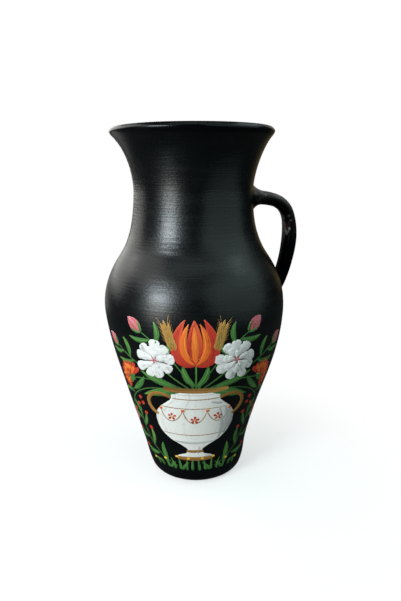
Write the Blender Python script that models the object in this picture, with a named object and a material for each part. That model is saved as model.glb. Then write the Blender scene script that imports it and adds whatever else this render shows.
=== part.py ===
"""A black ceramic jug, as the potter joins it: a thrown belly, a thrown neck bedded on it in slip, and a
pulled handle bedded in slip on both, with a coil of clay worked round each root.

Metres, +Z up. The jug stands on z = 0 and is turned about Z. The handle lies in the XZ plane, on +X.
"""

import math
from collections import namedtuple

import bmesh
import bpy
from mathutils import Matrix, Vector

# Heights, each measured from the one before it
BELLY_HEIGHT = 0.1566
SHOULDER_RISE = 0.0462
NECK_RISE = 0.0482
MOUTH_RISE = 0.0444

# Radii of the outside, from base to mouth
BASE_RADIUS = 0.0408
BELLY_RADIUS = 0.0771
SHOULDER_RADIUS = 0.0598
NECK_RADIUS = 0.0497
MOUTH_RADIUS = 0.0668

# Outward run of the outside for each metre of rise
FOOT_FLARE = 0.18
SHOULDER_FLARE = -0.58
MOUTH_FLARE = 1.08

# How far the outside keeps its direction below and above each ring, as a share of the rise to the next ring
FOOT_PULL = 0.487
BELLY_LOW_PULL = 0.292
BELLY_HIGH_PULL = 0.515
SHOULDER_LOW_PULL = 0.184
SHOULDER_HIGH_PULL = 0.246
NECK_LOW_PULL = 0.563
NECK_HIGH_PULL = 0.255
MOUTH_PULL = 0.363

# Wall, floor and lip
WALL = 0.0065
FLOOR = 0.009
FOOT_ROUNDING = 0.009
FLOOR_ROUNDING = 0.013
LIP_CROWN = 0.0011

# Joint between belly and neck: a tongue on the inner half of the wall, and slip on the ledge outside it
TONGUE = 0.005
SLIP = 0.0008
SEAM = 0.0003

# Handle: its roots and its outermost point, from the rings of the outside, and its oval section
HANDLE_TOP_DROP = 0.0069
HANDLE_FOOT_RISE = 0.0108
HANDLE_REACH = 0.0093
HANDLE_REACH_DROP = 0.0315
HANDLE_TOP_RUN = 0.0267
HANDLE_BEND = 0.0257
HANDLE_FALL = 0.018
HANDLE_TUCK = 0.010
HANDLE_TUCK_FLARE = 0.5
HANDLE_THICKNESS = 0.0121
HANDLE_WIDTH = 0.016

# Coils worked round the roots: reach along the handle, thickness at the wall and at the free edge
UPPER_COLLAR_REACH = 0.0105
UPPER_COLLAR_FLARE = 0.0045
LOWER_COLLAR_REACH = 0.020
LOWER_COLLAR_FLARE = 0.0025
COLLAR_EDGE = 0.0009

# Facets
SIDES = 48
CORNER_STEPS = 4
LIP_STEPS = 6
WALL_STEPS = 14
HANDLE_SIDES = 16
HANDLE_STEPS = 36
MERGE = 1e-6
SHARP = math.radians(35)

UP = Vector((0, 1))
SHOULDER_HEIGHT = BELLY_HEIGHT + SHOULDER_RISE
NECK_HEIGHT = SHOULDER_HEIGHT + NECK_RISE
MOUTH_HEIGHT = NECK_HEIGHT + MOUTH_RISE
SLIP_BED = SLIP + 2 * SEAM

Ring = namedtuple("Ring", "radius height flare low_pull high_pull")
RINGS = (
    Ring(BASE_RADIUS, 0, FOOT_FLARE, 0, FOOT_PULL),
    Ring(BELLY_RADIUS, BELLY_HEIGHT, 0, BELLY_LOW_PULL, BELLY_HIGH_PULL),
    Ring(SHOULDER_RADIUS, SHOULDER_HEIGHT, SHOULDER_FLARE, SHOULDER_LOW_PULL, SHOULDER_HIGH_PULL),
    Ring(NECK_RADIUS, NECK_HEIGHT, 0, NECK_LOW_PULL, NECK_HIGH_PULL),
    Ring(MOUTH_RADIUS, MOUTH_HEIGHT, MOUTH_FLARE, MOUTH_PULL, 0),
)
MOUTH_PLACE = len(RINGS) - 1


def spaced(first, last, steps):
    """Evenly spaced numbers from first to last."""
    return [first + (last - first) * i / steps for i in range(steps + 1)]


def along_bezier(points, share):
    """The point at a share of a cubic curve's way, and the curve's direction there."""
    a, b, c = (p.lerp(q, share) for p, q in zip(points, points[1:]))
    d, e = a.lerp(b, share), b.lerp(c, share)
    return d.lerp(e, share), (e - d).normalized()


def wall_point(place, depth):
    """Radius and height at a depth under the outside. place counts the rings from the base up."""
    index = min(int(place), MOUTH_PLACE - 1)
    low, high = RINGS[index], RINGS[index + 1]
    rise = high.height - low.height
    start, end = Vector((low.radius, low.height)), Vector((high.radius, high.height))
    leave = Vector((low.flare, 1)).normalized() * low.high_pull * rise
    arrive = Vector((high.flare, 1)).normalized() * high.low_pull * rise
    point, way = along_bezier((start, start + leave, end - arrive, end), place - index)
    return point + depth * Vector((-way.y, way.x))


def wall_place(height, depth):
    """The place at which the wall has this height at this depth."""
    low, high = 0, MOUTH_PLACE
    for _ in range(40):
        middle = (low + high) / 2
        if wall_point(middle, depth).y < height:
            low = middle
        else:
            high = middle
    return low


def wall_line(first_height, last_height, depth, steps):
    """Points along the wall at one depth, between two heights."""
    places = spaced(wall_place(first_height, depth), wall_place(last_height, depth), steps)
    return [wall_point(place, depth) for place in places]


def rounded_corner(floor, depth, rounding):
    """Arc from a flat floor up into the wall at one depth."""
    place = wall_place(floor + rounding, depth + rounding)
    centre = wall_point(place, depth + rounding)
    rim = wall_point(place, depth) - centre
    turn = math.atan2(rim.y, rim.x)
    angles = spaced(-math.pi / 2, turn, CORNER_STEPS)
    return [centre + rounding * Vector((math.cos(a), math.sin(a))) for a in angles]


def belly_outline():
    """Floor, wall and shoulder, up to the tongue that the neck sits round."""
    foot = rounded_corner(0, 0, FOOT_ROUNDING)
    hollow = rounded_corner(FLOOR, WALL, FLOOR_ROUNDING)
    tongue_top = SHOULDER_HEIGHT + TONGUE
    outside = wall_line(foot[-1].y, SHOULDER_HEIGHT, 0, WALL_STEPS + CORNER_STEPS)
    tongue = wall_line(SHOULDER_HEIGHT, tongue_top, (WALL + SEAM) / 2, 2)
    inside = wall_line(tongue_top, hollow[-1].y, WALL, WALL_STEPS)
    return [Vector((0, 0))] + foot[:-1] + outside + tongue + inside + hollow[-2::-1] + [FLOOR * UP]


def neck_outline():
    """Waist, mouth and lip, down to the skirt that sits round the tongue."""
    skirt_end = SHOULDER_HEIGHT + SLIP_BED
    step = SHOULDER_HEIGHT + TONGUE + SEAM
    edge, brink = wall_point(MOUTH_PLACE, 0), wall_point(MOUTH_PLACE, WALL)
    outward = Vector((brink.y - edge.y, edge.x - brink.x)).normalized()
    lip = []
    for share in spaced(0, 1, LIP_STEPS):
        lip.append(edge.lerp(brink, share) + LIP_CROWN * math.sin(math.pi * share) * outward)
    outside = wall_line(skirt_end, MOUTH_HEIGHT, 0, WALL_STEPS + CORNER_STEPS)
    inside = wall_line(brink.y, step, WALL, WALL_STEPS)
    skirt = wall_line(step, skirt_end, (WALL - SEAM) / 2, 2)
    return outside[:-1] + lip[:-1] + inside + skirt


def slip_ring_outline():
    """Slip that fills the ledge outside the tongue."""
    bottom = SHOULDER_HEIGHT + SEAM
    outside = wall_line(bottom, bottom + SLIP, 0, 1)
    inside = wall_line(bottom + SLIP, bottom, (WALL - SEAM) / 2, 1)
    return outside + inside


def body_outline(growth):
    """The whole outside grown by a distance, filled to the axis."""
    foot = rounded_corner(0, 0, FOOT_ROUNDING)[-1]
    outside = []
    for place in spaced(wall_place(foot.y, 0), MOUTH_PLACE, 3 * WALL_STEPS):
        outside.append(wall_point(place, -growth))
    return [outside[0].y * UP] + outside + [outside[-1].y * UP]


def handle_stations():
    """Points and directions along the handle's centre line, from inside the neck to inside the belly."""
    top_height, foot_height = NECK_HEIGHT - HANDLE_TOP_DROP, BELLY_HEIGHT + HANDLE_FOOT_RISE
    top = wall_point(wall_place(top_height, 0), 0)
    foot = wall_point(wall_place(foot_height, 0), 0)
    bend = Vector((BELLY_RADIUS + HANDLE_REACH, top_height - HANDLE_REACH_DROP))
    tuck = Vector((-HANDLE_TUCK_FLARE, -1)).normalized()
    run = Vector((HANDLE_TOP_RUN, 0))
    upper = (top, top + run, bend + HANDLE_BEND * UP, bend)
    lower = (bend, bend - HANDLE_FALL * UP, foot - HANDLE_TUCK * tuck, foot)
    shares = spaced(0, 1, HANDLE_STEPS // 2)
    line = [along_bezier(upper, share) for share in shares[:-1]]
    line += [along_bezier(lower, share) for share in shares]
    inset = Vector((-WALL, 0))
    tail = (HANDLE_THICKNESS / 2 + LOWER_COLLAR_FLARE) / HANDLE_TUCK_FLARE
    return [(top + inset, run.normalized())] + line + [(foot + tail * tuck, tuck)]


def material(name, colour, roughness):
    """Plain fired clay or coat of one colour."""
    made = bpy.data.materials.new(name)
    made.use_nodes = True
    shader = made.node_tree.nodes["Principled BSDF"]
    shader.inputs["Base Color"].default_value = (*colour, 1)
    shader.inputs["Roughness"].default_value = roughness
    shader.inputs["Metallic"].default_value = 0
    return made


def placed(name, shape, look):
    """Turn a bmesh into a named object of the scene. A shape with no look is a cutter."""
    bmesh.ops.remove_doubles(shape, verts=shape.verts, dist=MERGE)
    bmesh.ops.recalc_face_normals(shape, faces=shape.faces)
    mesh = bpy.data.meshes.new(name)
    shape.to_mesh(mesh)
    shape.free()
    mesh.shade_smooth()
    mesh.set_sharp_from_angle(angle=SHARP)
    made = bpy.data.objects.new(name, mesh)
    bpy.context.scene.collection.objects.link(made)
    if look:
        mesh.materials.append(look)
    else:
        made.hide_render = True
        made.display_type = "WIRE"
    return made


def turned(name, outline, look):
    """Spin an outline of radii and heights about Z. It closes on itself or on the axis."""
    shape = bmesh.new()
    verts = [shape.verts.new((point.x, 0, point.y)) for point in outline]
    ends = verts if outline[0].x == 0 else verts + verts[:1]
    edges = [shape.edges.new(pair) for pair in zip(ends, ends[1:])]
    axis, centre = (0, 0, 1), (0, 0, 0)
    whole = 2 * math.pi
    bmesh.ops.spin(
        shape, geom=verts + edges, axis=axis, cent=centre, angle=whole, steps=SIDES, use_merge=True
    )
    return placed(name, shape, look)


def swept(name, stations, growths, look):
    """Carry the handle's oval, grown at each station, along the stations, and cap both ends."""
    shape = bmesh.new()
    loops = []
    for (point, way), growth in zip(stations, growths):
        across = Vector((-way.y, way.x)) * (HANDLE_THICKNESS / 2 + growth)
        place = Matrix(
            (
                (across.x, 0, way.x, point.x),
                (0, HANDLE_WIDTH / 2 + growth, 0, 0),
                (across.y, 0, way.y, point.y),
                (0, 0, 0, 1),
            )
        )
        capped = len(loops) in (0, len(stations) - 1)
        circle = bmesh.ops.create_circle(
            shape, cap_ends=capped, radius=1, segments=HANDLE_SIDES, matrix=place
        )
        ring = set(circle["verts"])
        loops.append([edge for edge in shape.edges if ring.issuperset(edge.verts)])
    for low, high in zip(loops, loops[1:]):
        bmesh.ops.bridge_loops(shape, edges=low + high)
    return placed(name, shape, look)


def boolean(target, operation, other):
    """Cut or keep what another shape covers."""
    modifier = target.modifiers.new(f"{operation.lower()} {other.name}", "BOOLEAN")
    modifier.operation = operation
    modifier.object = other


def length_from(stations):
    """Way along the stations to each of them."""
    lengths = [0]
    for (here, _), (there, _) in zip(stations, stations[1:]):
        lengths.append(lengths[-1] + (there - here).length)
    return lengths


def root(place, stations, reach, flare, bodies, looks):
    """Slip bed and worked coil of one root. stations start inside the wall and run out along the handle."""
    bare_body, slip_body = bodies
    slip_look, coil_look = looks
    inset = (stations[1][0] - stations[0][0]).length
    lengths = length_from(stations)
    count = sum(length < inset + reach for length in lengths) + 1
    stub = stations[:count]
    growths = []
    for length in lengths[:count]:
        left = min(1, max(0, 1 - (length - inset) / reach))
        growths.append(COLLAR_EDGE + (flare - COLLAR_EDGE) * left**2)

    slip = swept(f"{place}_handle_slip", stub, [0] * count, slip_look)
    boolean(slip, "INTERSECT", slip_body)
    boolean(slip, "DIFFERENCE", bare_body)

    hole = swept(f"{place}_collar_hole", stations[: count + 1], [SEAM] * (count + 1), None)
    coil = swept(f"{place}_handle_collar", stub, growths, coil_look)
    boolean(coil, "DIFFERENCE", bare_body)
    boolean(coil, "DIFFERENCE", hole)


def build():
    """Make every piece of the jug."""
    for old in list(bpy.data.objects):
        bpy.data.objects.remove(old)

    turned("belly", belly_outline(), material("belly_black", (0.012, 0.012, 0.013), 0.45))
    turned("neck", neck_outline(), material("neck_black", (0.012, 0.012, 0.013), 0.42))
    slip_look = material("clay_slip", (0.10, 0.055, 0.035), 0.8)
    turned("shoulder_slip_ring", slip_ring_outline(), slip_look)

    bare_body = turned("body_and_seam", body_outline(SEAM), None)
    slip_body = turned("body_and_slip", body_outline(SEAM + SLIP), None)
    bedded_body = turned("body_and_slip_bed", body_outline(SLIP_BED), None)

    stations = handle_stations()
    handle_look = material("handle_black", (0.014, 0.013, 0.013), 0.4)
    handle = swept("handle", stations, [0] * len(stations), handle_look)
    boolean(handle, "DIFFERENCE", bedded_body)

    coil_look = material("coil_black", (0.016, 0.014, 0.013), 0.45)
    bodies = bare_body, slip_body
    looks = slip_look, coil_look
    root("upper", stations, UPPER_COLLAR_REACH, UPPER_COLLAR_FLARE, bodies, looks)
    upward = [(point, -way) for point, way in reversed(stations)]
    root("lower", upward, LOWER_COLLAR_REACH, LOWER_COLLAR_FLARE, bodies, looks)


build()
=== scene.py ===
import math
import random

import bmesh
import bpy
import numpy as np
from mathutils import Matrix, Vector, noise


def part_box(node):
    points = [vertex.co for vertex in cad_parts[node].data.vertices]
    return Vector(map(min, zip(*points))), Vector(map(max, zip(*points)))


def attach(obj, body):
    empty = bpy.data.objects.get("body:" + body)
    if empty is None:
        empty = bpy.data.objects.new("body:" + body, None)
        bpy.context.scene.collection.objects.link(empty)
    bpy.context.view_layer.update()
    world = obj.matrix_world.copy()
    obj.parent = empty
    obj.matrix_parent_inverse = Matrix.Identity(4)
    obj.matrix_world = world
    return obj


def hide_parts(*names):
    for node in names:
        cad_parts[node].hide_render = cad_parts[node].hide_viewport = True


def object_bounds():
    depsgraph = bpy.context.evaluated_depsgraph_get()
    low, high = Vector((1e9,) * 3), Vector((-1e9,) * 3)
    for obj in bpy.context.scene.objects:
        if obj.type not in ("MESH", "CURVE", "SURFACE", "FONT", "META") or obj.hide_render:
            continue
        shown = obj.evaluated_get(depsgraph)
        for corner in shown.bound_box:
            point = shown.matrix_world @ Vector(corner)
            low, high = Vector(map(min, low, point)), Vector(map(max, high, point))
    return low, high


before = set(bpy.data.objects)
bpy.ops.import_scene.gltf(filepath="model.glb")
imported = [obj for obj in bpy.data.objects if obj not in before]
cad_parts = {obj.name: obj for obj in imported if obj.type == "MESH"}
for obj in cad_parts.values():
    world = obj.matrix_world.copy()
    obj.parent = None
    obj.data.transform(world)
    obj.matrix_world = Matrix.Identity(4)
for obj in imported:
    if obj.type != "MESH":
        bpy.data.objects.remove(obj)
cad_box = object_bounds()

# Thrown wall
# Belly and neck are thrown on the wheel from red clay and joined wet at the foot of the neck, so the fired
# wall is one skin, which leans and swells a little. It is brushed satin black outside and part way down
# inside. The base and the rest of the inside are bare clay.

MM = 0.001
RING_SPACING = 1.0 * MM
WALL_SIDES = 160
HALF_WALL = 3 * MM
HALF_FLOOR = 5 * MM
THROWING_RIDGE = 0.026 * MM
RIDGE_SPACING = (2.6 * MM, 7 * MM)
UNRIDGED_RINGS = 8
SWELL = (
    (0, 0), (110, 0), (128, 0), (140, 0.12), (154, 0.35), (172, 0.1), (186, 0), (204, 0), (213, 0.33),
    (222, 0.35), (250, 0), (275, 0), (301, 0),
)
SEAM_RISE = -0.6 * MM
SEAM_DEPTH = 0.13 * MM
SEAM_WIDTH = 2.1 * MM
SEAM_CLIMB = 3.6 * MM
SEAM_START = -98
SEAM_TURN = 40
SEAM_MIDDLE = 0.5
SEAM_FADE = 0.8
SEAM_SHADE_WIDTH = 0.9 * MM
WOBBLE_WAY = Vector((math.cos(math.radians(-12)), math.sin(math.radians(-12)), 0))
WOBBLE = (
    (0, 0.7), (12, 0.5), (22, 0), (35, -0.55), (50, -0.62), (66, -0.55), (82, -0.05), (94, 0.4), (109, 0.66),
    (125, 0.68), (141, 0.38), (160, -0.1), (180, -0.08), (205, -0.2), (225, -0.3), (245, -0.05), (260, 0.18),
    (271, 0.36), (284, 0.22), (293, -0.4), (301, -1.35),
)
LIP_LIFT = 0.45 * MM
LIP_EDGE_RISE = 1.1 * MM
LIP_EDGE_ROUNDING = 1.15 * MM
LIP_SPREAD = 0.5 * MM
LIP_BAND = 3 * MM
LIP_BRINK_ROUNDING = 1.6 * MM
BRUSH_LINE = 30 * MM
BRUSH_SWEEP = 46 * MM
MOTTLE_SIZE = 1.7 * MM
CLOUD_SIZE = 34 * MM
PIT_SPACING = 2.4 * MM
PIT_PATCH = 6 * MM
PITS_ABOVE_SEAM = 12 * MM
PITTED_SIDE = (-10 * MM, 4 * MM)
ROUGHER_BELOW = 180 * MM
LIP_SHADE_SIDE = (-52 * MM, -38 * MM)
SMEARS = (((47.6, -13.0, 251), 5.5), ((46.3, -17.5, 251.6), 4.8), ((44.6, -21.8, 252), 3.6))
CLAY_STREAK = 24 * MM
GRIT_SPACING = 1.7 * MM
COAT_DEPTH = 58 * MM
COAT_END_WAVE = 16 * MM
COAT_END_BLUR = 1.5 * MM
COAT_BLACK = (0.0005, 0.0010, 0.0015, 1)
COAT_THIN = (0.0026, 0.0032, 0.0032, 1)
CLAY_RED = (0.30, 0.125, 0.065, 1)
CLAY_PALE = (0.44, 0.23, 0.135, 1)
CLAY_BROWN = (0.16, 0.105, 0.078, 1)


def rings(node, outward):
    """Radius by height of a turned node's rings, on the faces that look away from the axis or towards it."""
    found = {}
    best = max if outward else min
    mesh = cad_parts[node].data
    for face in mesh.polygons:
        lean = face.normal.xy.dot(face.center.xy.normalized())
        if lean * (1 if outward else -1) < 0.05:
            continue
        for index in face.vertices:
            spot = mesh.vertices[index].co
            height = round(spot.z, 6)
            found[height] = best(found.get(height, spot.xy.length), spot.xy.length)
    return found


def smooth_line(points, spacing):
    """An even row of points along a smooth curve through the given ones."""
    points = np.array(points)
    way = np.concatenate([[0], np.cumsum(np.linalg.norm(np.diff(points, axis=0), axis=1))])
    slopes = np.gradient(points, way, axis=0, edge_order=2)
    places = np.linspace(0, way[-1], round(way[-1] / spacing) + 1)
    index = np.clip(np.searchsorted(way, places, side="right") - 1, 0, len(way) - 2)
    step = (way[index + 1] - way[index])[:, None]
    t = (places - way[index])[:, None] / step
    start, end = points[index], points[index + 1]
    leave, arrive = slopes[index] * step, slopes[index + 1] * step
    return (
        (2 * t**3 - 3 * t**2 + 1) * start
        + (t**3 - 2 * t**2 + t) * leave
        + (3 * t**2 - 2 * t**3) * end
        + (t**3 - t**2) * arrive
    )


seam_low, seam_high = (corner.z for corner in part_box("shoulder_slip_ring"))
tongue_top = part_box("belly")[1].z
neck_out = rings("neck", True)
mouth_height = max(neck_out, key=neck_out.get)
outer_rings = {z: r for z, r in rings("belly", True).items() if z < seam_low}
outer_rings.update({z: r for z, r in neck_out.items() if z <= mouth_height})
inner_rings = rings("belly", False)
inner_rings.update({z: r for z, r in rings("neck", False).items() if z > tongue_top})
outside = smooth_line([(outer_rings[z], z) for z in sorted(outer_rings)], RING_SPACING)
inside = smooth_line([(inner_rings[z], z) for z in sorted(inner_rings, reverse=True)], 3 * RING_SPACING)
lip = [(neck_out[z], z) for z in sorted(neck_out) if z > mouth_height][1:4]

swell_line = smooth_line([(swell * MM, height * MM) for height, swell in SWELL], RING_SPACING)
thrown = outside.copy()
fine, broad = RIDGE_SPACING
for spot in thrown[UNRIDGED_RINGS:-UNRIDGED_RINGS]:
    ridge = noise.noise((0, 0, spot[1] / fine)) + 0.6 * noise.noise((7, 0, spot[1] / broad))
    spot[0] += THROWING_RIDGE * ridge + np.interp(spot[1], swell_line[:, 1], swell_line[:, 0])
thrown[-1][1] += LIP_EDGE_RISE
wobble_line = smooth_line([(shift * MM, height * MM) for height, shift in WOBBLE], RING_SPACING)


def wall_radius(height):
    """Radius of the thrown outside at a height."""
    return float(np.interp(height, thrown[:, 1], thrown[:, 0]))


def wobble(height):
    """How far the hand-thrown wall stands off its axis at a height."""
    return WOBBLE_WAY * float(np.interp(height, wobble_line[:, 1], wobble_line[:, 0]))


class Flow:
    """A socket of a node tree. Arithmetic on it adds Math nodes, and node() adds any other."""

    def __init__(self, tree, socket=None):
        self.tree = tree
        self.socket = socket

    def node(self, kind, settings=None, values=None, output=0):
        made = self.tree.nodes.new(kind)
        for name, setting in (settings or {}).items():
            setattr(made, name, setting)
        for name, value in (values or {}).items():
            self.feed(made.inputs[name], value)
        return Flow(self.tree, made.outputs[output])

    def feed(self, socket, value):
        if isinstance(value, Flow):
            self.tree.links.new(value.socket, socket)
        else:
            socket.default_value = value

    def maths(self, operation, first, second=0.0):
        return self.node("ShaderNodeMath", {"operation": operation}, {0: first, 1: second})

    def __add__(self, other):
        return self.maths("ADD", self, other)

    def __sub__(self, other):
        return self.maths("SUBTRACT", self, other)

    def __rsub__(self, other):
        return self.maths("SUBTRACT", other, self)

    def __mul__(self, other):
        return self.maths("MULTIPLY", self, other)

    __radd__ = __add__
    __rmul__ = __mul__

    def span(self, low, high, first=0.0, last=1.0):
        """Runs smoothly from first to last as this value goes from low to high."""
        values = {"Value": self, "From Min": low, "From Max": high, "To Min": first, "To Max": last}
        return self.node("ShaderNodeMapRange", {"interpolation_type": "SMOOTHSTEP"}, values)

    def blend(self, first, second):
        """Colour from first to second as this value goes from 0 to 1."""
        return self.node("ShaderNodeMix", {"data_type": "RGBA"}, {0: self, 6: first, 7: second}, 2)

    def axis(self, index):
        """One of this place's three coordinates."""
        return self.node("ShaderNodeSeparateXYZ", {}, {0: self}, index)

    def stretched(self, factors):
        """This place with its axes drawn out by factors."""
        return self.node("ShaderNodeVectorMath", {"operation": "MULTIPLY"}, {0: self, 1: factors})

    def grain(self, size, detail=2.0, rough=0.5):
        """Noise at this place, with lumps of a size in metres."""
        values = {"Vector": self, "Scale": 1 / size, "Detail": detail, "Roughness": rough}
        return self.node("ShaderNodeTexNoise", {}, values)

    def pores(self, size):
        """Distance to the nearest of scattered points, in shares of the size that they stand apart."""
        return self.node("ShaderNodeTexVoronoi", {}, {"Vector": self, "Scale": 1 / size})

    def near(self, spot, close, far):
        """1 where this place is within close of a spot in millimetres, falling to 0 at far."""
        values = {0: self, 1: [c * MM for c in spot]}
        away = self.node("ShaderNodeVectorMath", {"operation": "DISTANCE"}, values, 1)
        return away.span(close * MM, far * MM, 1.0, 0.0)

    def ragged(self, amount, size):
        """This place moved about by noise, so that what is near a spot gets a ragged edge."""
        stray = self.node("ShaderNodeTexNoise", {}, {"Vector": self, "Scale": 1 / size}, 1)
        centred = self.node("ShaderNodeVectorMath", {"operation": "SUBTRACT"}, {0: stray, 1: (0.5, 0.5, 0.5)})
        values = {0: centred, 1: (2 * amount, 2 * amount, 2 * amount), 2: self}
        return self.node("ShaderNodeVectorMath", {"operation": "MULTIPLY_ADD"}, values)


def new_finish(name):
    """A Principled material, its shader's sockets, a flow for its pattern, and the place on the piece."""
    made = bpy.data.materials.new(name)
    made.use_nodes = True
    flow = Flow(made.node_tree)
    place = flow.node("ShaderNodeTexCoord", output=3)
    return made, made.node_tree.nodes["Principled BSDF"].inputs, flow, place


def dress(flow, shader, colour, roughness, relief, depth):
    """Feeds a pattern's colour, roughness and relief of a depth in metres to the shader."""
    flow.feed(shader["Base Color"], colour)
    flow.feed(shader["Roughness"], roughness)
    flow.feed(shader["Normal"], flow.node("ShaderNodeBump", {}, {"Distance": depth, "Height": relief}))


def mix_in(flow, share, other):
    """Mixes another shader into the finish by a share."""
    finish = Flow(flow.tree, flow.tree.nodes["Principled BSDF"].outputs[0])
    mixed = flow.node("ShaderNodeMixShader", {}, {0: share, 1: finish, 2: other})
    flow.feed(flow.tree.nodes["Material Output"].inputs["Surface"], mixed)


def dull_down(flow, share):
    """Mixes a dull black into the finish by a share."""
    mix_in(flow, share, flow.node("ShaderNodeBsdfDiffuse", {}, {"Color": COAT_BLACK}))


def new_piece(name, shape, finish):
    """Object of a finished bmesh, with smooth faces and one material, riding on the jug."""
    mesh = bpy.data.meshes.new(name)
    shape.to_mesh(mesh)
    shape.free()
    mesh.shade_smooth()
    mesh.materials.append(finish)
    made = bpy.data.objects.new(name, mesh)
    bpy.context.scene.collection.objects.link(made)
    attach(made, "root")
    return made


wall_finish, shader, flow, place = new_finish("satin_black_coat")
across = place.axis(0)
height = place.axis(2)
lines = place.stretched((1, 1, 22)).grain(BRUSH_LINE, 2.0, 0.6)
sweeps = place.stretched((1, 1, 7)).grain(BRUSH_SWEEP, 3.0, 0.6)
mottle = place.grain(MOTTLE_SIZE, 2.0)
cloud = place.grain(CLOUD_SIZE, 3.0)
pit = place.pores(PIT_SPACING).span(0.12, 0.27, 1.0, 0.0) * place.grain(PIT_PATCH).span(0.49, 0.58)
pit = pit * height.span(seam_high, seam_high + PITS_ABOVE_SEAM) * across.span(*PITTED_SIDE, 1.0, 0.0)
# Painted shade: a dull dark line just under the joining groove, from a value stored on the wall's vertices.
seam_shade = flow.node("ShaderNodeAttribute", {"attribute_name": "seam_shade"}, output=2)
coat = (cloud.span(0.35, 0.7) * sweeps.span(0.3, 0.7)).blend(COAT_BLACK, COAT_THIN)
smear = 0
for spot, size in SMEARS:
    smear = flow.maths("MAXIMUM", place.ragged(2.2 * MM, 4.5 * MM).near(spot, 0.1 * size, size), smear)
coat = (0.75 * smear * (0.4 + 0.6 * mottle.span(0.3, 0.6))).blend(coat, CLAY_BROWN)
coat_gloss = 0.135 + 0.06 * lines + 0.14 * sweeps + 0.05 * cloud + 0.09 * mottle
coat_gloss = coat_gloss + 0.02 * height.span(ROUGHER_BELOW, seam_low, 1.0, 0.0)
coat_gloss = coat_gloss - 0.09 * height.span(mouth_height - 2 * MM, mouth_height)
coat_relief = 1.25 * lines + 0.80 * mottle
shader["Specular IOR Level"].default_value = 0.35
clay = place.stretched((1, 1, 9)).grain(CLAY_STREAK, 4.0)
grit = place.pores(GRIT_SPACING).span(0.10, 0.22, 1.0, 0.0)
bare_clay = (clay.span(0.3, 0.7) * (1 - 0.5 * grit)).blend(CLAY_RED, CLAY_PALE)
hollow = flow.node("ShaderNodeAttribute", {"attribute_name": "hollow"}, output=2)
brushed_end = height + COAT_END_WAVE * place.stretched((1, 1, 0.2)).grain(13 * MM, 4.0)
coat_end = cad_box[1].z - COAT_DEPTH + COAT_END_WAVE / 2
bare = hollow * brushed_end.span(coat_end - COAT_END_BLUR, coat_end + COAT_END_BLUR, 1.0, 0.0)
dress(
    flow,
    shader,
    bare.blend(coat, bare_clay),
    coat_gloss + bare * (0.85 - coat_gloss),
    coat_relief + 0.6 * bare * clay,
    0.10 * MM,
)
# Painted shade: the sheen on the lip is dulled with black all round apart from at the left.
lip_shade = across.span(*LIP_SHADE_SIDE) * height.span(mouth_height - 3 * MM, mouth_height - 1 * MM)
dull_down(flow, (pit + 0.3 * seam_shade + 0.5 * lip_shade) * (1 - bare))

shape = bmesh.new()
outline = [(0, thrown[0][1]), *thrown[:-2], thrown[-1], *lip, *inside, (0, inside[-1][1])]
verts = [shape.verts.new((r, 0, z)) for r, z in outline]
edges = [shape.edges.new(pair) for pair in zip(verts, verts[1:])]
bmesh.ops.spin(
    shape,
    geom=verts + edges,
    axis=(0, 0, 1),
    cent=(0, 0, 0),
    angle=2 * math.pi,
    steps=WALL_SIDES,
    use_merge=True,
)
bmesh.ops.remove_doubles(shape, verts=shape.verts, dist=1e-6)
for corner, rounding, steps in ((thrown[-1], LIP_EDGE_ROUNDING, 6), (inside[0], LIP_BRINK_ROUNDING, 5)):
    members = set()
    for vert in shape.verts:
        if abs(vert.co.z - corner[1]) < 1e-6 and abs(vert.co.xy.length - corner[0]) < 1e-6:
            members.add(vert)
    bmesh.ops.bevel(
        shape,
        geom=[edge for edge in shape.edges if members.issuperset(edge.verts)],
        offset=rounding,
        affect="EDGES",
        segments=steps,
        profile=0.5,
        material=-1,
    )
bmesh.ops.recalc_face_normals(shape, faces=shape.faces)
hollow_layer = shape.verts.layers.float.new("hollow")
seam_shade_layer = shape.verts.layers.float.new("seam_shade")
for vert in shape.verts:
    under = vert.co.z < 0.5 * MM and vert.co.xy.length < outline[1][0] + 1 * MM
    within = vert.co.z > HALF_FLOOR and vert.co.xy.length < wall_radius(vert.co.z) - HALF_WALL
    vert[hollow_layer] = under or within
    way = Vector((vert.co.x, vert.co.y, 0)).normalized()
    # The joining groove shows at the front, climbs towards the left and fades out at both ends.
    climb = (SEAM_START - math.degrees(math.atan2(way.y, way.x))) / SEAM_TURN
    fade = max(0, 1 - abs(climb - SEAM_MIDDLE) / SEAM_FADE) * (not within)
    off = vert.co.z - seam_high - SEAM_RISE - SEAM_CLIMB * max(0, climb) ** 2
    vert.co -= way * fade * SEAM_DEPTH * math.exp(-((off / SEAM_WIDTH) ** 4))
    # Painted shade: marks a line just under the joining groove, which the finish dulls with black.
    vert[seam_shade_layer] = fade * math.exp(-(((off + SEAM_WIDTH) / SEAM_SHADE_WIDTH) ** 2))
    at_lip = min(1, max(0, 1 + (vert.co.z - mouth_height) / LIP_BAND))
    vert.co += at_lip * (LIP_SPREAD * way + Vector((0, 0, LIP_LIFT)))
    vert.co += wobble(vert.co.z)
wall = new_piece("thrown_wall", shape, wall_finish)
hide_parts("belly", "neck", "shoulder_slip_ring")

# Handle
# One pulled strap of clay with a flattened oval section, stuck on wet and smoothed into the neck and belly at
# its roots. It has the same coat, thicker and rougher, chipped on the grip with painted pale glints, dusty on
# top with a painted sheen, and painted shade low on its inner side.

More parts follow.
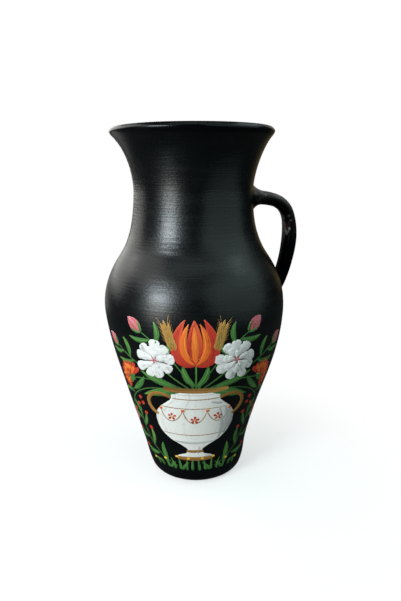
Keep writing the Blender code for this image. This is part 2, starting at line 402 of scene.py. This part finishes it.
GRIP_WIDTH = 16.5 * MM
GRIP_SQUARENESS = ((0, 0.95), (0.35, 0.92), (0.5, 0.80), (0.7, 0.90), (1, 1.0))
GRIP_UNEVENNESS = 0.22 * MM
UNEVEN_SPACING = 13 * MM
GRIP_THICKNESS = (
    (0, 12.2), (0.16, 11.2), (0.30, 10.7), (0.42, 10.7), (0.52, 11.6), (0.66, 11.9), (0.84, 11.3), (1, 10.4),
)
THICK_AT_BEND = GRIP_THICKNESS[4][1]
REACH_DROP = 31.5 * MM
TOP_RUN = 26.2 * MM
BEND = 25.7 * MM
FALL = 18 * MM
TUCK = 10 * MM
TUCK_WAY = Vector((-0.5, -1)).normalized()
ROOT_FLARE = (6.2 * MM, 0.5 * MM)
ROOT_REACH = (10 * MM, 13 * MM)
ROOT_SMEAR = 2.4 * MM
ROOT_SMEAR_LEAN = 1.4
ROOT_BLEND = 1.6 * MM
ROOT_ROUNDS = 8
ROOT_DEPTHS = (6, 4.5, 3, 2, 1)
ROOT_STEPS = (0, 0.1, 0.25, 0.45, 0.7)
FOOT_DEPTHS = (6, 12, 17)
HANDLE_SIDES = 28
HANDLE_STEPS = 72


def along(points, share):
    """Point and direction at a share of the way along a curve with the given control points."""
    while len(points) > 2:
        points = [p.lerp(q, share) for p, q in zip(points, points[1:])]
    return points[0].lerp(points[1], share), (points[1] - points[0]).normalized()


beds = ("upper_handle_slip", "lower_handle_slip")
top, foot = (sum(corner.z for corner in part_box(bed)) / 2 for bed in beds)
top, foot = (Vector((wall_radius(level), level)) for level in (top, foot))
bend = Vector((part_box("handle")[1].x - THICK_AT_BEND / 2 * MM, top.y - REACH_DROP))
upper = (top, top + Vector((TOP_RUN, 0)), bend + Vector((0, BEND)), bend)
lower = (bend, bend - Vector((0, FALL)), foot - TUCK * TUCK_WAY, foot)
half = HANDLE_STEPS // 2
stations = [(0, top - Vector((depth * MM, 0)), Vector((1, 0))) for depth in ROOT_DEPTHS]
for step in (*ROOT_STEPS, *range(1, half)):
    stations.append((step / HANDLE_STEPS, *along(upper, step / half)))
for step in range(half + 1):
    stations.append((0.5 + step / HANDLE_STEPS, *along(lower, step / half)))
stations += [(1, foot + depth * MM * TUCK_WAY, TUCK_WAY) for depth in FOOT_DEPTHS]
shape = bmesh.new()
loops = []
for share, point, way in stations:
    thick = np.interp(share, *zip(*GRIP_THICKNESS)) * MM
    bluntness = np.interp(share, *zip(*GRIP_SQUARENESS))
    across = Vector((-way.y, 0, way.x))
    centre = Vector((point.x, 0, point.y))
    capped = point in (stations[0][1], stations[-1][1])
    ring = bmesh.ops.create_circle(shape, cap_ends=capped, radius=1, segments=HANDLE_SIDES)["verts"]
    for vert in ring:
        side, face = (math.copysign(abs(c) ** bluntness, c) for c in vert.co.xy)
        offset = across * side * thick / 2 + Vector((0, face * GRIP_WIDTH / 2, 0))
        spot = centre + offset
        outward = offset.normalized()
        flare = 0
        smeared = (ROOT_SMEAR if share < 0.5 else 0) * (ROOT_SMEAR_LEAN + side) / 2
        for _ in range(ROOT_ROUNDS):
            reach = spot + outward * flare
            away = max(0, (reach - wobble(reach.z)).xy.length - wall_radius(reach.z))
            wide = ROOT_FLARE[share > 0.5] * max(0, 1 - away / ROOT_REACH[side > 0]) ** 2.2
            flare = (flare + wide + smeared * max(0, 1 - away / ROOT_BLEND) ** 2) / 2
        uneven = GRIP_UNEVENNESS * noise.noise(spot / UNEVEN_SPACING)
        vert.co = spot + outward * (flare + uneven)
    members = set(ring)
    loops.append([edge for edge in shape.edges if members.issuperset(edge.verts)])
for low, high in zip(loops, loops[1:]):
    bmesh.ops.bridge_loops(shape, edges=low + high)
bmesh.ops.recalc_face_normals(shape, faces=shape.faces)

CHIPS = (
    ((82.9, -7.9, 228.1), 1.4, 0.25), ((84.6, -8.1, 224.2), 1.4, 0.30), ((83.6, -7.4, 216.9), 1.9, 0.75),
    ((79.3, -2.8, 227.9), 2.2, 0.20), ((79.9, -2.4, 225.9), 2.3, 0.24), ((80.4, -1.9, 224.0), 2.4, 0.27),
    ((80.7, -1.9, 222.0), 2.5, 0.30), ((80.9, -2.2, 220.1), 2.5, 0.30), ((81.1, -2.7, 218.2), 2.5, 0.33),
    ((81.3, -3.3, 216.5), 2.5, 0.38), ((81.5, -4.1, 215.1), 2.4, 0.48), ((81.7, -4.8, 213.7), 2.2, 0.60),
    ((81.9, -5.4, 212.6), 1.9, 0.60), ((82.7, -6.5, 214.6), 1.7, 0.40), ((61.3, -7.3, 246.5), 1.7, 0.60),
    ((55.0, -5.8, 238.2), 1.5, 0.40), ((57.2, -5.8, 239.2), 1.3, 0.40), ((58.9, -6.1, 239.7), 1.2, 0.30),
)
WORN_SPOT = (82, -5.8, 220.5)
BARE_SPOT = (49.8, -10.8, 251.2)
DUST_AND_SHEEN_SPOT = (57, -9, 247.5)
LUMP_SIZE = 2.4 * MM
GLINT_SPACING = 5.2 * MM
PAINTED_SHADE_HEIGHTS = (200 * MM, 216 * MM)
HANDLE_BLACK = (0.0002, 0.0003, 0.0004, 1)
HANDLE_THIN = (0.0012, 0.0013, 0.0013, 1)
CLAY_DARK = (0.060, 0.020, 0.014, 1)
CHIP_AND_GLINT_PALE = (0.20, 0.19, 0.175, 1)
DUST_AND_SHEEN_GREY = (0.125, 0.111, 0.110, 1)
handle_finish, shader, flow, place = new_finish("rough_black_coat")
lumps = place.grain(LUMP_SIZE, 3.0)
cloud = place.grain(20 * MM, 3.0)
ragged = place.ragged(0.8 * MM, 2.2 * MM)
broken = 0.3 + 1.2 * place.grain(1.1 * MM, 3.0)
chip = 0
for spot, size, paleness in CHIPS:
    flake = (ragged.near(spot, 0.4 * size, size) * broken).span(0.28, 0.60)
    chip = flow.maths("MAXIMUM", paleness * flake, chip)
wear = ragged.near(WORN_SPOT, 1.0, 4.2) * lumps.span(0.40, 0.52)
root = ragged.near(BARE_SPOT, 2.0, 6.0) * lumps.span(0.22, 0.52)
facing = flow.node("ShaderNodeNewGeometry", output=1)
up = facing.axis(2)
outward = facing.axis(0)
height = place.axis(2)
# Dust and painted sheen: grey on the upward faces, stronger the more they face up as if lit from above, and
# on a patch by the upper root.
dust_and_sheen = up.span(0.05, 0.85) * (0.55 + 0.45 * lumps.span(0.30, 0.70))
dust_and_sheen = dust_and_sheen + 0.22 * ragged.near(DUST_AND_SHEEN_SPOT, 3.0, 11.0) * lumps.span(0.30, 0.70)
# Painted glints: small pale specks scattered over the coat, standing in for light caught on tiny bumps.
painted_glint = place.pores(GLINT_SPACING).span(0.05, 0.10, 1.0, 0.0) * place.grain(8 * MM).span(0.52, 0.60)
coat = cloud.span(0.35, 0.75).blend(HANDLE_BLACK, HANDLE_THIN)
coat = dust_and_sheen.blend((0.8 * wear).blend(coat, CLAY_DARK), DUST_AND_SHEEN_GREY)
coat = (0.95 * root).blend(coat, CLAY_BROWN)
worn_and_glinting = (chip + 0.5 * painted_glint).blend(coat, CHIP_AND_GLINT_PALE)
shader["Specular IOR Level"].default_value = 0.08
dress(flow, shader, worn_and_glinting, 0.28 + 0.14 * cloud, 0.6 * lumps + 0.5 * chip - 0.4 * wear, 0.22 * MM)
# Painted shade: the lower part of the handle, apart from its outer face, is dulled with black.
dull_down(flow, 0.85 * height.span(*PAINTED_SHADE_HEIGHTS, 1.0, 0.0) * outward.span(0.1, 0.8, 1.0, 0.0))
handle = new_piece("pulled_handle", shape, handle_finish)
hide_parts("handle", "upper_handle_slip", "lower_handle_slip")
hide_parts("upper_handle_collar", "lower_handle_collar")

# Painted urn
# The decoration is hand painted in thick acrylic with a round brush: a white urn full of flowers, as on many
# country jugs. The urn is laid in first, in white with grey shading, and gets an ochre trim.

FRONT = math.radians(-102)
HAND = random.Random(11)
STROKE_SHAKE = 0.3
STROKE_VARIETY = (0.93, 1.07)
STROKE_STEP = 2.4
FILM_LIFT = 0.06
COAT_LIFT = 0.03
EDGE_SINK = -0.05
EVEN = (0.14, 0.14)
URN = (
    (27.5, 15.5), (31, 14.5), (34, 7.5), (38, 6), (42.5, 11), (49, 22), (57, 29.5), (65, 33), (73, 33.5),
    (81, 30), (87, 24), (91.5, 20), (95.5, 20.5), (99, 25), (101, 26.5),
)
URN_SHADES = (
    (((28.5, 58), (33, 69), (28.5, 80.5)), 6.0), (((24, 53), (30, 67), (24.5, 83)), 5.6),
    (((19, 49), (26, 62), (20, 83)), 4.6), (((-20, 96.4), (0, 94.8), (20, 96.4)), 2.2),
    (((-31, 62), (-33.5, 70), (-30, 79)), 2.0), (((-17, 47), (0, 43.5), (17, 47)), 3.0),
    (((8, 31.5), (11, 31), (14, 30.5)), 2.6), (((12, 88.5), (18, 87), (23, 86)), 3.2),
    (((2.5, 33.2), (4.5, 38), (4, 42)), 3.0),
)
TRIM = (
    (((-27, 100.6), (0, 99.2), (27, 100.6)), 5.6), (((-19.5, 91.8), (0, 90.4), (19.5, 91.8)), 2.2),
    (((-16, 28.6), (0, 27.2), (16, 28.6)), 5.0), (((-7.5, 36.4), (0, 35.8), (7.5, 36.4)), 3.8),
    (((-29.5, 82.6), (0, 80.6), (29.5, 82.6)), 1.8), (((-27, 55), (0, 52.4), (27, 55)), 1.8),
    (((-29, 80), (-25, 64), (-15, 64), (-10, 79.5)), 1.6),
    (((-10, 79.5), (-6, 62), (6, 62), (10, 79.5)), 1.6),
    (((10, 79.5), (15, 64), (25, 64), (29, 80)), 1.6),
    (((20, 92), (40, 103), (50, 80), (31, 73)), 4.0), (((-20, 92), (-40, 103), (-50, 80), (-31, 73)), 4.0),
)


def new_layer():
    """Empty bmesh for the strokes of one colour."""
    shape = bmesh.new()
    shape.loops.layers.uv.new("stroke")
    shape.verts.layers.float.new("tone")
    return shape


def on_wall(spot, lift):
    """Place on the wall at a way round it from the front line, a height, and a lift off the surface."""
    radius = wall_radius(spot.y)
    turn = FRONT + spot.x / radius
    place = Vector(((radius + lift) * math.cos(turn), (radius + lift) * math.sin(turn), spot.y))
    return place + wobble(spot.y)


def lay(shape, steps, coat, placed):
    """A thin film of paint over the coats under it. placed gives the spot for a share and a side."""
    grid = bmesh.ops.create_grid(shape, x_segments=steps[0], y_segments=steps[1], size=1)["verts"]
    uv = shape.loops.layers.uv["stroke"]
    tones = shape.verts.layers.float["tone"]
    tone = HAND.random()
    for vert in grid:
        for loop in vert.link_loops:
            loop[uv].uv = (vert.co.xy + Vector((1, 1))) / 2
        edge = max(abs(vert.co.x), abs(vert.co.y)) > 0.999
        share = (1 - math.cos(math.pi * (vert.co.x + 1) / 2)) / 2
        side = math.sin(math.pi / 2 * vert.co.y)
        vert[tones] = tone
        vert.co = on_wall(placed(share, side), (EDGE_SINK if edge else FILM_LIFT + COAT_LIFT * coat) * MM)


def dab(shape, line, width, taper, coat):
    """One stroke of a loaded brush along a curve, in millimetres across and up the front."""
    shake = (-STROKE_SHAKE, STROKE_SHAKE)
    line = [Vector((x + HAND.uniform(*shake), z + HAND.uniform(*shake))) for x, z in line]
    reach = sum((q - p).length for p, q in zip(line, line[1:]))
    line = [spot * MM for spot in line]
    full_width = width * HAND.uniform(*STROKE_VARIETY) * MM
    first, last = taper
    peak = (first / (first + last)) ** first * (last / (first + last)) ** last

    def placed(share, side):
        spot, way = along(line, share)
        swell = max(0.12, share**first * (1 - share) ** last / peak)
        return spot + Vector((-way.y, way.x)) * side * swell * full_width / 2

    lay(shape, (max(6, round(reach / STROKE_STEP)), 4 if width > 2.2 else 2), coat, placed)


def paint(name, main, shade, light, hairs=5.0, dryness=0.55):
    """Acrylic paint with brush streaks along each stroke, shaded at its start and a flank, dry in patches."""
    made, shader, flow, place = new_finish(name)
    stroke = flow.node("ShaderNodeUVMap", {"uv_map": "stroke"})
    tone = flow.node("ShaderNodeAttribute", {"attribute_name": "tone"}, output=2)
    length = stroke.axis(0)
    across = stroke.axis(1)
    slid = flow.node("ShaderNodeCombineXYZ", {}, {0: length * 0.9, 1: across * hairs, 2: tone * 40.0})
    bristles = slid.grain(0.8, 3.0, 0.6)
    cloud = place.grain(4 * MM)
    dark = (1 - length) * 0.5 + across * 0.35 + (tone - 0.5) * 0.5 + (bristles - 0.5) * 2.4
    bright = length * 0.5 + (1 - across) * 0.3 + (tone - 0.5) * 0.5 + (bristles - 0.5) * 2.2
    dry = ((1 - bristles) * 1.2 + (cloud - 0.5) * 0.6).span(0.66, 0.90, 0.0, dryness)
    colour = dark.span(0.55, 1.25).blend(bright.span(0.45, 1.05).blend(main, light), shade)
    colour = dry.blend(colour, [0.35 * c for c in shade[:3]] + [1])
    shader["Specular IOR Level"].default_value = 0.30
    dress(flow, shader, colour, 0.36 + 0.2 * cloud, bristles + 0.4 * cloud, 0.08 * MM)
    return made


urn_line = smooth_line([(half, z) for z, half in URN], 1.0)


def urn_spot(share, side):
    """Place inside the urn's outline, from its foot to its rim."""
    height = URN[0][0] + (URN[-1][0] - URN[0][0]) * share
    return Vector((np.interp(height, urn_line[:, 1], urn_line[:, 0]) * side, height)) * MM


film = new_layer()
lay(film, (48, 20), 1, urn_spot)
WHITE_PAINT = ((0.78, 0.76, 0.71, 1), (0.60, 0.59, 0.56, 1), (0.84, 0.83, 0.80, 1))
new_piece("painted_urn", film, paint("white_urn_paint", *WHITE_PAINT, 26.0, 0.25))

film = new_layer()
for line, width in URN_SHADES:
    dab(film, line, width, (0.5, 0.6), 3)
GREY_PAINT = ((0.50, 0.50, 0.48, 1), (0.36, 0.37, 0.36, 1), (0.62, 0.62, 0.60, 1))
new_piece("urn_shading", film, paint("grey_paint", *GREY_PAINT, 6.0, 0.2))

film = new_layer()
for line, width in TRIM:
    dab(film, line, width, EVEN, 4)
OCHRE = ((0.30, 0.140, 0.034, 1), (0.12, 0.052, 0.014, 1), (0.48, 0.26, 0.075, 1))
new_piece("urn_trim", film, paint("ochre_paint", *OCHRE))

# Stems and leaves
# Stems fan out of the urn's mouth, each one pull of a thin brush. Leaves are single presses of a round brush
# loaded with two greens, with a light vein drawn over them, and grass stands at the foot.

LEAF = (0.75, 0.85)
STEMS = (
    (((4, 101), (14, 108), (28, 120)), 1.7), (((2, 101), (18, 134), (45, 149)), 1.4),
    (((8, 101), (44, 116), (75, 131)), 1.4), (((10, 100), (34, 112), (58, 103)), 1.6),
    (((14, 100), (46, 104), (66, 84), (64, 66)), 1.4), (((1, 101), (9, 124), (17, 138)), 1.3),
    (((16, 19), (36, 26), (53, 46), (52, 72)), 1.5),
)
LEAVES = (
    ((0, 104), (9, 110), (10, 122), 6.0), ((7, 101), (26, 98), (45, 90), 8.5),
    ((16, 103), (32, 106), (47, 113), 6.0), ((32, 140), (27, 149), (32, 158), 5.0),
    ((36, 143), (46, 139), (56, 143), 4.8), ((24, 131), (17, 140), (20, 150), 4.6),
    ((54, 121), (64, 114), (76, 118), 5.4), ((58, 123), (57, 133), (65, 140), 5.2),
    ((66, 127), (76, 122), (84, 126), 4.6), ((44, 108), (50, 96), (60, 90), 6.0),
    ((58, 87), (70, 90), (78, 82), 5.0), ((63, 78), (54, 73), (51, 63), 5.2),
    ((24, 21), (30, 32), (29, 42), 5.4), ((34, 27), (44, 24), (51, 28), 5.4),
    ((40, 33), (37, 45), (41, 53), 5.2), ((46, 41), (54, 38), (59, 44), 5.0),
    ((50, 52), (45, 60), (46, 68), 4.6), ((52, 60), (59, 60), (62, 67), 4.4),
)
VEIN_WIDTH = 0.9
GRASS = (
    (3, 2, 30), (8, 7, 27), (13, 15, 30), (18, 22, 27), (24, 31, 26), (30, 38, 21), (35, 43, 22), (11, 5, 24),
    (22, 17, 23),
)
film = new_layer()
veins = new_layer()
dab(film, ((0, 101), (0, 112), (0, 126)), 2.0, EVEN, 1)
for side in (-1, 1):
    for line, width in STEMS:
        dab(film, [(side * x, z) for x, z in line], width, EVEN, 1)
    for *line, width in LEAVES:
        line = [(side * x, z) for x, z in line]
        dab(film, line, width, LEAF, 2)
        dab(veins, line, VEIN_WIDTH, LEAF, 4)
    for root, lean, tip in GRASS:
        dab(film, ((side * root, 15), (side * root, 20), (side * lean, tip)), 2.8, (0.3, 1.0), 2)
GREEN = ((0.050, 0.165, 0.036, 1), (0.013, 0.052, 0.018, 1), (0.15, 0.31, 0.058, 1))
new_piece("stems_and_leaves", film, paint("green_paint", *GREEN))
PALE_GREEN = ((0.20, 0.37, 0.11, 1), (0.10, 0.24, 0.06, 1), (0.36, 0.51, 0.19, 1))
new_piece("leaf_veins", veins, paint("pale_green_paint", *PALE_GREEN))

# Ears of corn
# Two ripe ears stand behind the flowers, each built up from its foot to its tip: pairs of short ochre presses
# on either side of a row of middle ones, with a fine bristle drawn out beyond each.

EAR_FOOT = (16.5, 136)
EAR_LEAN = 16
EAR_LENGTH = 20
EAR_ROWS = 6
film = new_layer()


def at(centre, angle, points):
    """Points given across and along a direction, which is an angle clockwise from upright."""
    c, s = math.cos(math.radians(angle)), math.sin(math.radians(angle))
    return [(centre[0] + p * c + q * s, centre[1] - p * s + q * c) for p, q in points]


for side in (-1, 1):
    root = (side * EAR_FOOT[0], EAR_FOOT[1])
    lean = side * EAR_LEAN
    for row in range(EAR_ROWS):
        q = row * EAR_LENGTH / EAR_ROWS
        for flank in (-1, 1):
            kernel = at(root, lean, ((flank * 0.5, q), (flank * 3.2, q + 2.4), (flank * 2.6, q + 6.4)))
            bristle = at(root, lean, ((flank * 2.7, q + 6), (flank * 4.2, q + 9), (flank * 5.6, q + 12)))
            dab(film, bristle, 0.6, (0.3, 0.9), 1)
            dab(film, kernel, 3.0, LEAF, 2 + 0.3 * row)
        dab(film, at(root, lean, ((0, q), (0, q + 3), (0, q + 6.5))), 2.6, LEAF, 1.5 + 0.3 * row)
    dab(film, at(root, lean, ((0, EAR_LENGTH - 2), (0, EAR_LENGTH + 1), (0, EAR_LENGTH + 5))), 2.8, LEAF, 5)
CORN_PAINT = ((0.38, 0.20, 0.048, 1), (0.16, 0.070, 0.016, 1), (0.64, 0.41, 0.12, 1))
new_piece("ears_of_corn", film, paint("corn_paint", *CORN_PAINT))

# Flowers
# Petals are presses of a round brush, laid ring upon ring from the outside in: white roses, a red and orange
# tulip, orange pinks, pink buds and red berries, with dots of yellow in their hearts.

PETAL = (0.95, 0.42)
DOT = (0.5, 0.5)
ROSES = ((-33, 126, 17.5), (33, 126, 17.5))
PINKS = ((-61, 104, 15, -58), (61, 104, 15, 58))
BUDS = ((45, 149, 48), (75, 131, 60), (64, 66, 178))
BERRIES = ((54, 76), (48, 79), (51, 84), (61, 68), (45, 69), (59, 45), (41, 54), (51, 29))
URN_FLOWERS = ((19, 73), (0, 70))
GARLAND_DOTS = ((10, 79.5), (29, 80))
GRASS_DOTS = ((6, 28), (16, 29), (28, 24), (40, 20))
white, red, orange, pink, yellow, green = (new_layer() for _ in range(6))


def dot(shape, x, z, size, coat):
    """A round touch of the brush's tip."""
    dab(shape, ((x - size / 2, z), (x + size / 2, z)), size, DOT, coat)


def fan(shape, centre, facing, spread, count, start, reach, width, coat):
    """Petals side by side about a facing, from start to reach of the heart."""
    for index in range(count):
        angle = facing - spread + 2 * spread * index / (count - 1) + HAND.uniform(-3, 3)
        end = reach * HAND.uniform(*STROKE_VARIETY)
        line = at(centre, angle, ((0, start), (HAND.uniform(-0.6, 0.6), (start + end) / 2), (0, end)))
        dab(shape, line, width, PETAL, coat + 0.15 * index)


for x, z, size in ROSES:
    fan(white, (x, z), 0, 160, 9, 0.34 * size, size, 0.56 * size, 2)
    fan(white, (x, z), 25, 154, 7, 0.18 * size, 0.70 * size, 0.44 * size, 5)
    fan(white, (x, z), 0, 144, 5, 0.06 * size, 0.44 * size, 0.32 * size, 8)
    for turn in range(0, 360, 60):
        dot(pink, *at((x, z), turn, ((0, 0.11 * size),))[0], 2.2, 10)
    dot(pink, x, z, 2.4, 11)
for side in (-1, 1):
    dab(red, ((0, 123), (side * 19, 123), (side * 17, 146), (side * 7, 161)), 10, LEAF, 2)
    dab(orange, ((0, 124), (side * 12, 130), (side * 11, 146), (side * 4, 158)), 6.2, LEAF, 5)
    dab(yellow, ((side, 128), (side * 10, 133), (side * 9, 146), (side * 5, 154)), 1.3, LEAF, 7)
dab(red, ((0, 123), (0, 141), (0, 160)), 13, (0.6, 0.8), 4)
dab(orange, ((0, 125), (0, 140), (0, 156)), 7.0, (0.6, 0.8), 7)
dab(yellow, ((0, 128), (0, 140), (0, 152)), 1.6, LEAF, 9)
for x, z, size, facing in PINKS:
    fan(red, (x, z), facing, 105, 11, 0.1 * size, size, 0.34 * size, 2)
    fan(orange, (x, z), facing, 88, 9, 0.05 * size, 0.80 * size, 0.28 * size, 5)
    fan(red, (x, z), facing, 60, 5, 0.0, 0.50 * size, 0.20 * size, 8)
    fan(yellow, (x, z), facing, 40, 4, 0.10 * size, 0.34 * size, 1.0, 10)
    fan(green, (x, z), facing + 180, 40, 3, -0.1 * size, 0.42 * size, 0.26 * size, 10)
for side in (-1, 1):
    for x, z, angle in BUDS:
        root = (side * x, z)
        lean = side * angle
        for flank in (-1, 1):
            dab(pink, at(root, lean, ((0, 0), (flank * 5.5, 4), (flank * 1, 14))), 5.0, LEAF, 2)
            dab(green, at(root, lean, ((0, -2), (flank * 4, 1), (flank * 4, 7))), 2.6, LEAF, 6)
        dab(pink, at(root, lean, ((0, 0), (0, 8), (0, 15))), 5.2, LEAF, 4)
    for x, z in BERRIES:
        dot(red, side * x, z, 4.2, 4)
        dot(orange, side * x - 0.7, z + 0.7, 1.2, 7)
    for x, z in URN_FLOWERS:
        for turn in range(0, 360, 72):
            dab(red, at((side * x, z), turn, ((0, 0.6), (0, 2), (0, 3.8))), 2.6, PETAL, 4)
        dot(yellow, side * x, z, 2.0, 7)
    for x, z in GARLAND_DOTS:
        dot(orange, side * x, z, 3.2, 7)
    for x, z in GRASS_DOTS:
        dot(yellow, side * x, z, 2.8, 6)
FLOWER_PAINTS = (
    ("white_roses", white, (0.71, 0.70, 0.67, 1), (0.34, 0.35, 0.36, 1), (0.81, 0.80, 0.78, 1)),
    ("red_petals", red, (0.46, 0.038, 0.020, 1), (0.20, 0.013, 0.010, 1), (0.70, 0.12, 0.040, 1)),
    ("orange_petals", orange, (0.70, 0.140, 0.022, 1), (0.44, 0.050, 0.014, 1), (0.86, 0.34, 0.050, 1)),
    ("pink_buds", pink, (0.50, 0.120, 0.140, 1), (0.28, 0.036, 0.048, 1), (0.78, 0.40, 0.42, 1)),
    ("yellow_dots", yellow, (0.80, 0.48, 0.050, 1), (0.58, 0.23, 0.020, 1), (0.90, 0.70, 0.16, 1)),
    ("flower_cups", green, *GREEN),
)
for name, film, *colours in FLOWER_PAINTS:
    new_piece(name, film, paint(name + "_paint", *colours))

# Studio
# A plain pale floor, white to the camera, that keeps the jug's shadow. Soft light comes from a tall window at
# the left with sky over a street, from pale walls and ceilings, from a dim room at the right with a shelf and
# a door, and from patches of light on the floor.

FLOOR_PALE = (0.92, 0.92, 0.92, 1)
FLOOR_DIM = (0.048, 0.048, 0.048, 1)
ROOM_DIM = (0.022, 0.022, 0.022, 1)
WHITE = (1, 1, 1, 1)
FLOOR_SIZE = 8.0
SHADOW_REACH = (0.06, 0.22)
SHADOW_WHITE = 0.55
LAMP_CENTRE = Vector((0, 0, 0.2))

shape = bmesh.new()
bmesh.ops.create_grid(shape, x_segments=1, y_segments=1, size=FLOOR_SIZE)
mesh = bpy.data.meshes.new("floor")
shape.to_mesh(mesh)
shape.free()
floor_finish, shader, flow, place = new_finish("pale_floor")
seen = flow.node("ShaderNodeLightPath")
flow.feed(shader["Base Color"], seen.blend(FLOOR_DIM, FLOOR_PALE))
shader["Roughness"].default_value = 1.0
shader["Specular IOR Level"].default_value = 0.0
away = flow.node("ShaderNodeVectorMath", {"operation": "LENGTH"}, {0: place}, 1)
glow = flow.node("ShaderNodeEmission", {}, {"Color": WHITE})
mix_in(flow, seen * away.span(*SHADOW_REACH, SHADOW_WHITE, 1.0), glow)
mesh.materials.append(floor_finish)
floor = bpy.data.objects.new("floor", mesh)
bpy.context.scene.collection.objects.link(floor)

world = bpy.data.worlds.new("studio")
bpy.context.scene.world = world
world.use_nodes = True
flow = Flow(world.node_tree)
room = flow.node("ShaderNodeLightPath").blend(ROOM_DIM, WHITE)
flow.feed(world.node_tree.nodes["Background"].inputs["Color"], room)


def lamp(name, bearing, rise, distance, spread, radiance, colour):
    """A soft lamp with its bearing from the camera's side, its rise and its spread in degrees."""
    data = bpy.data.lights.new(name, "AREA")
    data.shape = "RECTANGLE"
    data.size, data.size_y = (2 * distance * math.tan(math.radians(angle) / 2) for angle in spread)
    data.energy = radiance * math.pi * data.size * data.size_y
    data.color = colour
    made = bpy.data.objects.new(name, data)
    turn = FRONT + math.radians(bearing)
    lean = math.radians(rise)
    way = Vector((math.cos(turn) * math.cos(lean), math.sin(turn) * math.cos(lean), math.sin(lean)))
    made.location = LAMP_CENTRE + distance * way
    made.rotation_euler = (-way).to_track_quat("-Z", "Y").to_euler()
    made.visible_camera = False
    bpy.context.scene.collection.objects.link(made)


lamp("window_sky", -43.4, 18, 1.1, (22.4, 16), 30, (0.82, 0.94, 1.0))
lamp("window_street", -43.4, -1, 1.1, (22.4, 22), 6.5, (1.0, 0.99, 0.93))
lamp("window_floor", -44, -19, 0.45, (18, 12), 1.3, (0.75, 0.90, 1.0))
lamp("left_floor", -154, -14, 0.6, (46, 20), 0.42, (1.0, 0.99, 0.95))
lamp("right_floor", 58, -10, 0.6, (54, 14), 0.38, (0.78, 1.0, 0.98))
lamp("back_wall", 180, 32, 1.5, (70, 40), 0.5, (1.0, 1.0, 0.98))
lamp("left_wall", -137, 17, 1.3, (68, 34), 2.05, (1.0, 0.99, 0.95))
lamp("left_ceiling", -88, 38, 1.5, (60, 30), 1.9, (1.0, 1.0, 0.98))
lamp("right_room", 58, 8, 1.6, (76, 22), 0.80, (0.78, 1.0, 0.98))
lamp("right_shelf", 60, 31.5, 1.6, (80, 24), 1.18, (0.78, 1.0, 0.98))
lamp("right_door", 106, 19, 0.32, (16, 8), 0.22, (0.78, 1.0, 0.98))
lamp("right_ceiling", 104, 49, 1.5, (46, 20), 2.5, (0.80, 1.0, 0.98))
lamp("right_wall", 152, 2, 1.5, (32, 46), 0.22, (1.0, 0.74, 0.32))
lamp("ceiling", 14, 71, 1.7, (60, 40), 1.08, (0.82, 1.0, 1.0))

# Camera
# It stands where the photograph was taken from, a little below the mouth and tilted down, with the handle at
# its right.

DISTANCE = 435 * MM
EYE_HEIGHT = 268.6 * MM
FOCAL_SHARE = 510.2 / 601
PITCH = 0.25413
ROLL = -0.00556
YAW = 0.01253

turn = Matrix.Rotation(FRONT + math.pi / 2, 3, "Z")
right = Vector((math.cos(YAW), -math.sin(YAW), 0))
ahead = Vector((math.sin(YAW), math.cos(YAW), 0))
down = Vector((0, 0, -1))
forward = ahead * math.cos(PITCH) + down * math.sin(PITCH)
up = ahead * math.sin(PITCH) - down * math.cos(PITCH)
image_right = right * math.cos(ROLL) + up * math.sin(ROLL)
image_up = up * math.cos(ROLL) - right * math.sin(ROLL)
lens = bpy.data.cameras.new("photo_camera")
lens.sensor_width = 36
lens.lens = FOCAL_SHARE * lens.sensor_width
camera = bpy.data.objects.new("photo_camera", lens)
aim = turn @ Matrix((image_right, image_up, -forward)).transposed()
camera.matrix_world = Matrix.Translation(turn @ Vector((0, -DISTANCE, EYE_HEIGHT))) @ aim.to_4x4()
bpy.context.scene.collection.objects.link(camera)
bpy.context.scene.camera = camera
bpy.context.scene.view_settings.view_transform = "Standard"
